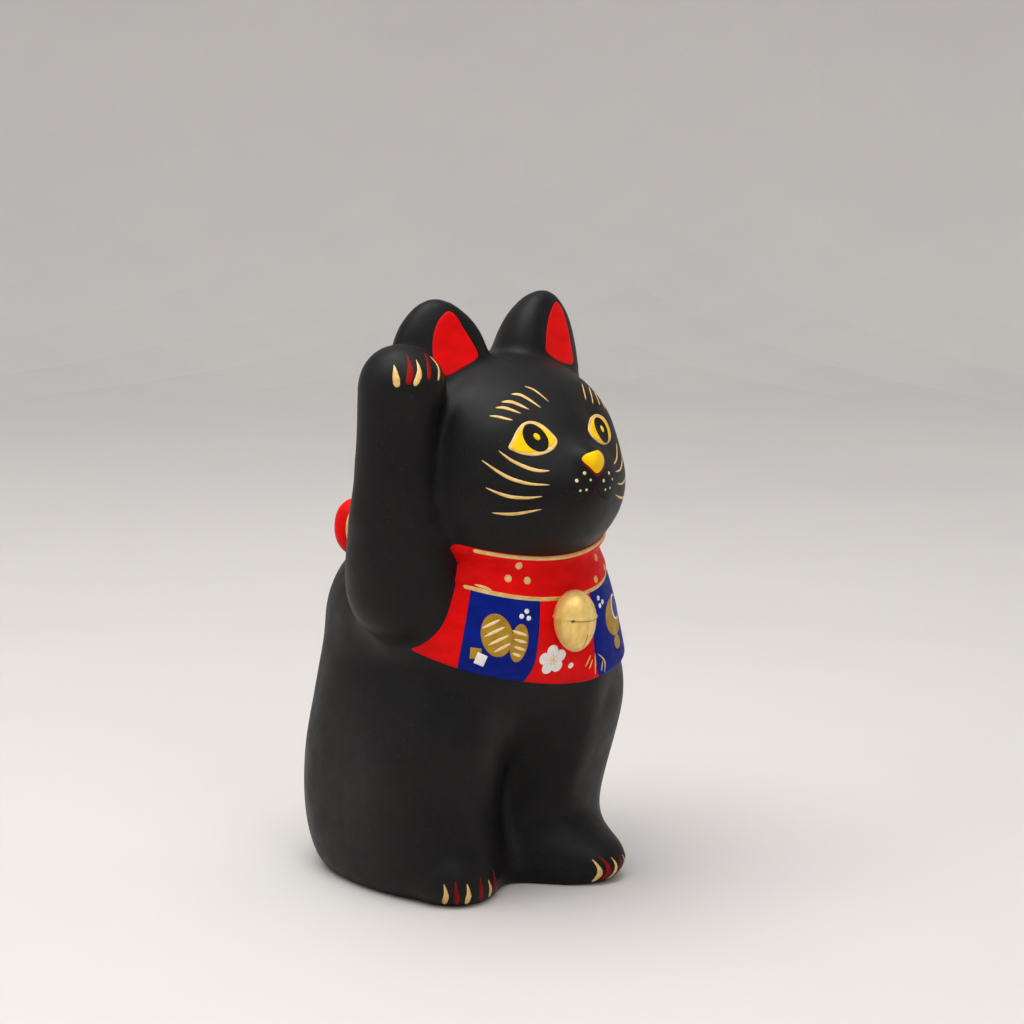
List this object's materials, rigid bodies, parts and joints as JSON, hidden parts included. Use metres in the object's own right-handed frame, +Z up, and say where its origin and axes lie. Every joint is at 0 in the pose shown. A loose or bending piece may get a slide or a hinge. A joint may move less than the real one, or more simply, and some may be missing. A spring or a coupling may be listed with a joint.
{
  "type": "beckoning cat coin bank",
  "caption": "Seated black clay cat with a raised paw, red neck band, painted bib and gold bell; hollow, with a coin slot and a rubber stopper in the base.",
  "frame": {"origin": "centre of the base on the surface the cat stands on, at the axis of the base opening", "axes": "+Z up, -Y the way the face looks, +X to the cat's left; the raised arm is on -X"},
  "size_m": [0.1069, 0.1273, 0.1986],
  "materials": {
    "black_clay": "matte black paint on unglazed earthenware, slightly velvety",
    "red_paint": "satin red paint on earthenware, with gold edges",
    "gold_paint": "brushed gold paint on earthenware",
    "rubber": "soft off-white rubber"
  },
  "bodies": {
    "cat": {"torso": "black_clay", "head": "black_clay", "raised_arm": "black_clay", "tail": "black_clay", "neck_band": "red_paint", "bib": "red_paint", "bell": "gold_paint", "bow_knot": "red_paint", "bow_loop_right": "red_paint", "bow_loop_left": "red_paint", "bow_end_right": "red_paint", "bow_end_left": "red_paint"},
    "plug": {"stopper": "rubber"}
  },
  "joints": [
    {"name": "stopper_pull", "type": "slide", "parent": "cat", "child": "plug", "axis": [0, 0, -1], "range_m": [0, 0.03]}
  ]
}
